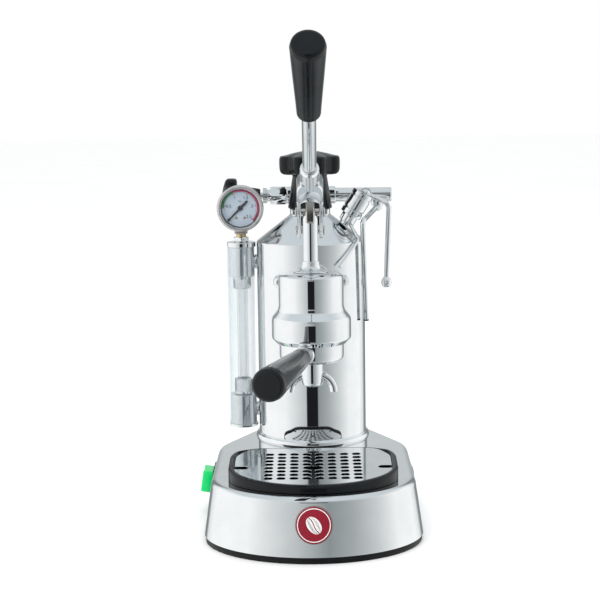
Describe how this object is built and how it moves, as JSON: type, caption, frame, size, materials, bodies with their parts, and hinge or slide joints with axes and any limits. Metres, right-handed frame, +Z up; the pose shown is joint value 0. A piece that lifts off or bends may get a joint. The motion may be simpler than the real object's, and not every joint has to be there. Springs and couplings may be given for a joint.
{
  "type": "lever espresso machine",
  "caption": "Manual lever espresso machine: polished boiler on a broad base, lever group with portafilter, drip tray, sight glass, pressure gauge and steam wands.",
  "frame": {"origin": "on the table, on the boiler's vertical axis, at the underside of the base", "axes": "+Z up along the boiler's axis, -Y to the front where the group and the lever are, +X to the right as seen from the front"},
  "size_m": [0.2099, 0.4128, 0.4528],
  "materials": {
    "polished_chrome": "polished",
    "stainless": "satin",
    "black_plastic": "fine satin",
    "black_gloss": "gloss",
    "black_rubber": "matte",
    "brass": "satin",
    "clear_glass": "clear",
    "green_rocker": "gloss",
    "lamp_red": "gloss",
    "badge_red": "gloss enamel",
    "dial_grey": "matte",
    "needle_black": "satin"
  },
  "bodies": {
    "machine": {"base_shell": "polished_chrome", "base_pan": "black_plastic", "base_screws": "stainless", "badge": "badge_red", "switch_housing": "black_plastic", "pilot_lamp": "lamp_red", "cord_gland": "black_plastic", "pressure_switch": "stainless", "boiler_shell": "polished_chrome", "boiler_ring": "polished_chrome", "boiler_gasket": "black_rubber", "boiler_nut": "brass", "heating_element": "stainless", "sight_top_fitting": "polished_chrome", "sight_bottom_fitting": "polished_chrome", "sight_glass": "clear_glass", "sight_guard": "clear_glass", "sight_nuts": "polished_chrome", "sight_seals": "black_rubber", "gauge_stem": "brass", "gauge_case": "stainless", "gauge_bezel": "stainless", "gauge_dial": "dial_grey", "gauge_lens": "clear_glass", "valve_body": "polished_chrome", "valve_nut": "polished_chrome", "safety_valve": "polished_chrome", "safety_spring": "stainless", "safety_ball": "stainless", "discharge_tube": "polished_chrome", "group_body": "polished_chrome", "group_sleeve": "stainless", "group_bolts": "polished_chrome", "group_gasket": "black_rubber", "shower_screen": "stainless", "rod_gland": "polished_chrome"},
    "drip_tray": {"drip_tray": "black_plastic"},
    "drip_grid": {"drip_grid": "stainless"},
    "rocker": {"switch_rocker": "green_rocker"},
    "cap_plug": {"cap_plug": "stainless", "cap_seal": "black_rubber"},
    "cap_knob": {"cap_knob": "black_gloss"},
    "needle": {"gauge_needle": "needle_black"},
    "steam_knob": {"steam_knob": "black_gloss", "valve_stem": "stainless"},
    "steam_wand": {"steam_wand": "polished_chrome", "steam_tip": "polished_chrome"},
    "side_wand": {"side_wand": "polished_chrome"},
    "piston": {"piston": "stainless", "piston_seals": "black_rubber", "piston_rod": "polished_chrome"},
    "lever": {"lever_fork": "polished_chrome", "fork_pins": "stainless", "lever_rod": "polished_chrome", "lever_handle": "black_gloss"},
    "portafilter": {"portafilter_body": "polished_chrome", "portafilter_basket": "stainless", "portafilter_ferrule": "polished_chrome", "portafilter_handle": "black_gloss", "spout": "polished_chrome"}
  },
  "joints": [
    {"name": "lever_pivot", "type": "hinge", "parent": "machine", "child": "lever", "pos_m": [0, -0.064, 0.2785], "axis": [1, 0, 0], "range_deg": [0, 55]},
    {"name": "piston_slide", "type": "slide", "parent": "machine", "child": "piston", "axis": [0, 0, -1], "range_m": [0, 0.0315]},
    {"name": "portafilter_turn", "type": "hinge", "parent": "machine", "child": "portafilter", "pos_m": [0, -0.095, 0.172], "axis": [0, 0, -1], "range_deg": [0, 45]},
    {"name": "cap_turn", "type": "hinge", "parent": "cap_plug", "child": "cap_knob", "pos_m": [0, 0, 0.327], "axis": [0, 0, 1], "range_deg": [0, 1080]},
    {"name": "cap_rise", "type": "slide", "parent": "machine", "child": "cap_plug", "axis": [0, 0, 1], "range_m": [0, 0.0062]},
    {"name": "steam_knob_turn", "type": "hinge", "parent": "machine", "child": "steam_knob", "pos_m": [-0.08, 0.033, 0.3045], "axis": [-1, 0, 0], "range_deg": [0, 360]},
    {"name": "steam_wand_swivel", "type": "hinge", "parent": "machine", "child": "steam_wand", "pos_m": [0.0547, 0.022, 0.306], "axis": [0, 0, 1], "range_deg": [-30, 4]},
    {"name": "side_wand_swivel", "type": "hinge", "parent": "machine", "child": "side_wand", "pos_m": [0.0665, 0.03, 0.293], "axis": [0, 0, 1], "range_deg": [0, 25]},
    {"name": "drip_tray_lift", "type": "slide", "parent": "machine", "child": "drip_tray", "axis": [0, 0, 1], "range_m": [0, 0.03]},
    {"name": "drip_grid_lift", "type": "slide", "parent": "drip_tray", "child": "drip_grid", "axis": [0, 0, 1], "range_m": [0, 0.02]},
    {"name": "rocker_tilt", "type": "hinge", "parent": "machine", "child": "rocker", "pos_m": [-0.09455, -0.014, 0.02971], "axis": [0.143, 0, 0.9897], "range_deg": [0, 14]},
    {"name": "needle_turn", "type": "hinge", "parent": "machine", "child": "needle", "pos_m": [-0.0672, -0.008, 0.2955], "axis": [0, 1, 0], "range_deg": [0, 270], "stiffness_Nm_per_rad": 0.0001}
  ],
  "couplings": [
    {"joint": "piston_slide", "follows": "lever_pivot", "m_per_rad": 0.0323},
    {"joint": "cap_rise", "follows": "cap_turn", "m_per_rad": 0.00031831}
  ]
}
